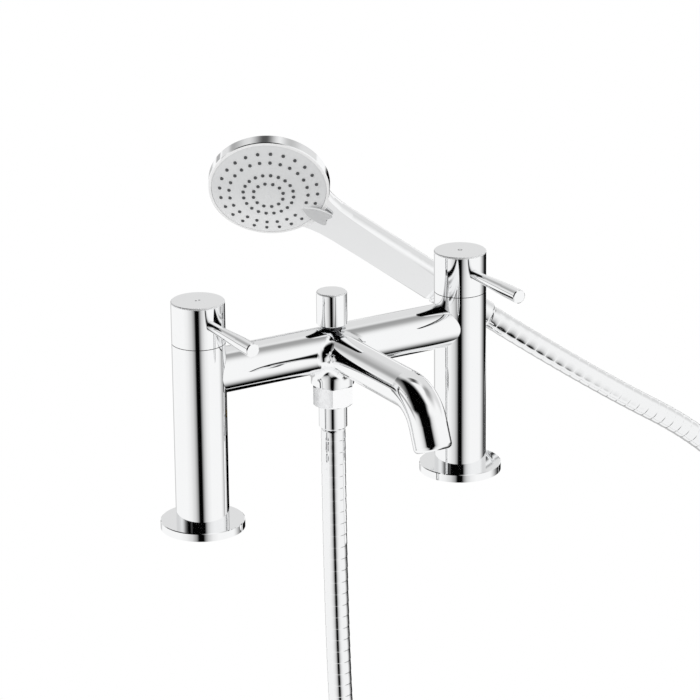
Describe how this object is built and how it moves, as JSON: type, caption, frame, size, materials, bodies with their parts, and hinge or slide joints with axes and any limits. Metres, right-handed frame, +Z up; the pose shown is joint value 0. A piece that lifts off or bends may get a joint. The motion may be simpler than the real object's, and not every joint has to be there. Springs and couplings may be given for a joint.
{
  "type": "bath shower mixer",
  "caption": "Two-pillar deck bath mixer with bridge, bent spout, lever handles, pull-up diverter, flexible hose, handset and handset holder.",
  "frame": {"origin": "on the deck's top surface, midway between the two tap holes", "axes": "+X from the hot pillar to the cold pillar, -Y the way the spout and levers point, +Z up"},
  "size_m": [0.5198, 0.315, 0.5994],
  "materials": {
    "chrome": "polished",
    "brass": "turned",
    "black_rubber": "matt",
    "ceramic_disc": "lapped",
    "stainless_steel": "plain",
    "hose_steel": "polished spiral wound strip",
    "chromed_plastic": "chrome plated",
    "grey_face": "satin",
    "nozzle_rubber": "soft",
    "white_plastic": "moulded"
  },
  "bodies": {
    "mixer": {"hot_pillar": "chrome", "hot_flange": "chrome", "hot_gasket": "black_rubber", "hot_tail": "brass", "hot_deck_washer": "black_rubber", "hot_backnut": "brass", "hot_cartridge": "brass", "hot_seat_seal": "black_rubber", "hot_fixed_disc": "ceramic_disc", "cold_pillar": "chrome", "cold_flange": "chrome", "cold_gasket": "black_rubber", "cold_tail": "brass", "cold_deck_washer": "black_rubber", "cold_backnut": "brass", "cold_cartridge": "brass", "cold_seat_seal": "black_rubber", "cold_fixed_disc": "ceramic_disc", "bridge_spout": "chrome", "aerator_housing": "chrome", "aerator_insert": "white_plastic", "diverter_guide": "brass", "diverter_oring": "black_rubber", "check_valve": "white_plastic", "hose_nut": "chrome", "hose_washer": "black_rubber", "hose_ferrule": "chrome", "hose": "hose_steel", "handset_ferrule": "chrome", "handset_nut": "chromed_plastic", "handset_washer": "black_rubber", "handset_body": "chromed_plastic", "handset_distributor": "white_plastic", "holder_post": "chrome", "holder_ring": "chrome", "holder_screw": "stainless_steel", "holder_gasket": "black_rubber", "holder_washer": "stainless_steel", "holder_nut": "brass"},
    "hot_handle": {"hot_cap": "chrome", "hot_lever": "chrome", "hot_grub_screw": "stainless_steel", "hot_spindle": "brass", "hot_turning_disc": "ceramic_disc"},
    "cold_handle": {"cold_cap": "chrome", "cold_lever": "chrome", "cold_grub_screw": "stainless_steel", "cold_spindle": "brass", "cold_turning_disc": "ceramic_disc"},
    "diverter": {"diverter_knob": "chrome", "diverter_stem": "brass", "diverter_piston": "brass", "diverter_washers": "black_rubber"},
    "selector": {"handset_face": "grey_face", "handset_nozzles": "nozzle_rubber"}
  },
  "joints": [
    {"name": "hot_handle_turn", "type": "hinge", "parent": "mixer", "child": "hot_handle", "pos_m": [-0.09, 0, 0.1296], "axis": [0, 0, 1], "range_deg": [-90, 0]},
    {"name": "cold_handle_turn", "type": "hinge", "parent": "mixer", "child": "cold_handle", "pos_m": [0.09, 0, 0.1296], "axis": [0, 0, 1], "range_deg": [0, 90]},
    {"name": "diverter_pull", "type": "slide", "parent": "mixer", "child": "diverter", "axis": [0, 0, 1], "range_m": [0, 0.008]},
    {"name": "spray_select", "type": "hinge", "parent": "mixer", "child": "selector", "pos_m": [0.0479, 0.1601, 0.1453], "axis": [-0.4935, -0.7594, -0.424], "range_deg": [-28, 28]}
  ]
}
